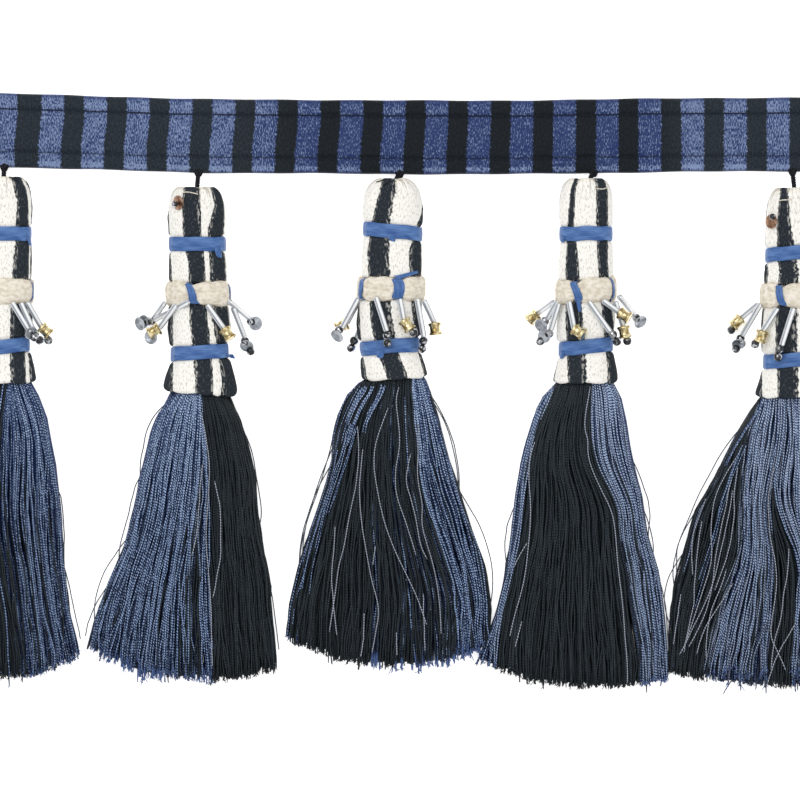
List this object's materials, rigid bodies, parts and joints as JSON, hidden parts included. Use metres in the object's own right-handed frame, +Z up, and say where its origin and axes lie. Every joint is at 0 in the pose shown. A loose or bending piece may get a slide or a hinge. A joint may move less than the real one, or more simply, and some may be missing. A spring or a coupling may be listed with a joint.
{
  "type": "beaded tassel trim",
  "caption": "Length of tassel trim: striped satin heading with hanging tassels of striped braid heads, blue ribbon bands, wool, bugle beads and full thread skirts.",
  "frame": {"origin": "middle of the heading tape's flat back, on the surface that the trim lies on", "axes": "+X along the heading tape, +Y from the tassels towards the heading, +Z up out of the trim's face"},
  "size_m": [0.2501, 0.1545, 0.0147],
  "materials": {
    "heading_satin": "striped satin",
    "black_cord": "matte twisted cord",
    "striped_braid": "matte braid",
    "blue_ribbon": "satin",
    "beige_wool": "fuzzy wool",
    "bead_glass": "gloss",
    "skirt_thread": "lustrous thread",
    "copper_sequin": "gloss"
  },
  "bodies": {
    "root": {"heading_tape": "heading_satin", "hanging_cord_1": "black_cord", "head_1": "striped_braid", "upper_band_1": "blue_ribbon", "lower_band_1": "blue_ribbon", "wool_band_1": "beige_wool", "whipping_ribbon_1": "blue_ribbon", "bead_fringe_1": "bead_glass", "skirt_1": "skirt_thread", "hanging_cord_2": "black_cord", "head_2": "striped_braid", "upper_band_2": "blue_ribbon", "lower_band_2": "blue_ribbon", "wool_band_2": "beige_wool", "whipping_ribbon_2": "blue_ribbon", "bead_fringe_2": "bead_glass", "skirt_2": "skirt_thread", "hanging_cord_3": "black_cord", "head_3": "striped_braid", "upper_band_3": "blue_ribbon", "lower_band_3": "blue_ribbon", "wool_band_3": "beige_wool", "whipping_ribbon_3": "blue_ribbon", "bead_fringe_3": "bead_glass", "skirt_3": "skirt_thread", "hanging_cord_4": "black_cord", "head_4": "striped_braid", "upper_band_4": "blue_ribbon", "lower_band_4": "blue_ribbon", "wool_band_4": "beige_wool", "whipping_ribbon_4": "blue_ribbon", "bead_fringe_4": "bead_glass", "skirt_4": "skirt_thread", "hanging_cord_5": "black_cord", "head_5": "striped_braid", "upper_band_5": "blue_ribbon", "lower_band_5": "blue_ribbon", "wool_band_5": "beige_wool", "whipping_ribbon_5": "blue_ribbon", "bead_fringe_5": "bead_glass", "skirt_5": "skirt_thread", "shoulder_sequin_2": "copper_sequin", "shoulder_sequin_5": "copper_sequin"}
  },
  "joints": []
}
